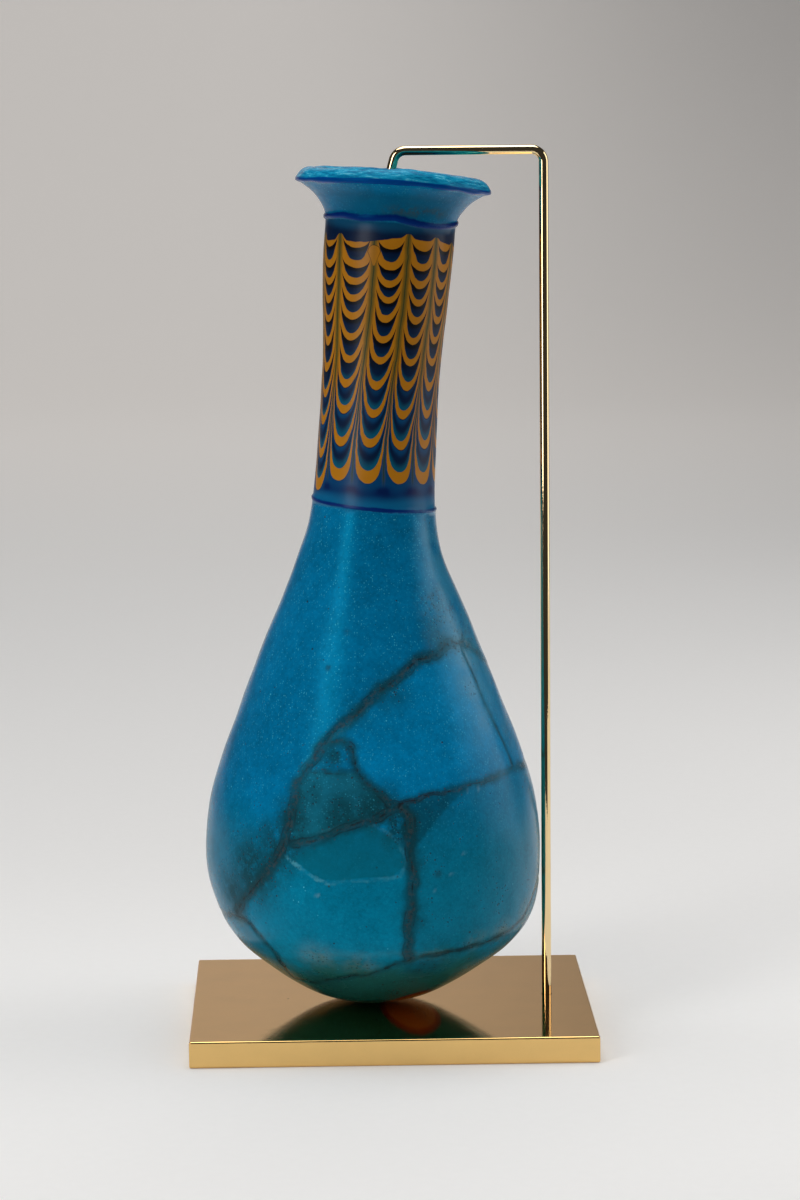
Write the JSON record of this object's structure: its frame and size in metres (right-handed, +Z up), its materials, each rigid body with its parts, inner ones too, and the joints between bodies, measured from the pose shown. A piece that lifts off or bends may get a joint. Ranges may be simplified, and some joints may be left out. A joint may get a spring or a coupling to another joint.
{
  "type": "glass bottle",
  "caption": "Ancient round-bottomed glass bottle with a leaning neck and flared lip, resting on a brass plate and held upright by a bent brass rod hooked into its neck.",
  "frame": {"origin": "middle of the brass plate's underside", "axes": "+Z up, +X towards the rod's post, and the bottle's front faces -Y"},
  "size_m": [0.1014, 0.0888, 0.2243],
  "materials": {
    "turquoise_glass": "opaque, satin",
    "polished_brass": "polished"
  },
  "bodies": {
    "root": {"bottle": "turquoise_glass", "base_plate": "polished_brass", "support_rod": "polished_brass"}
  },
  "joints": []
}
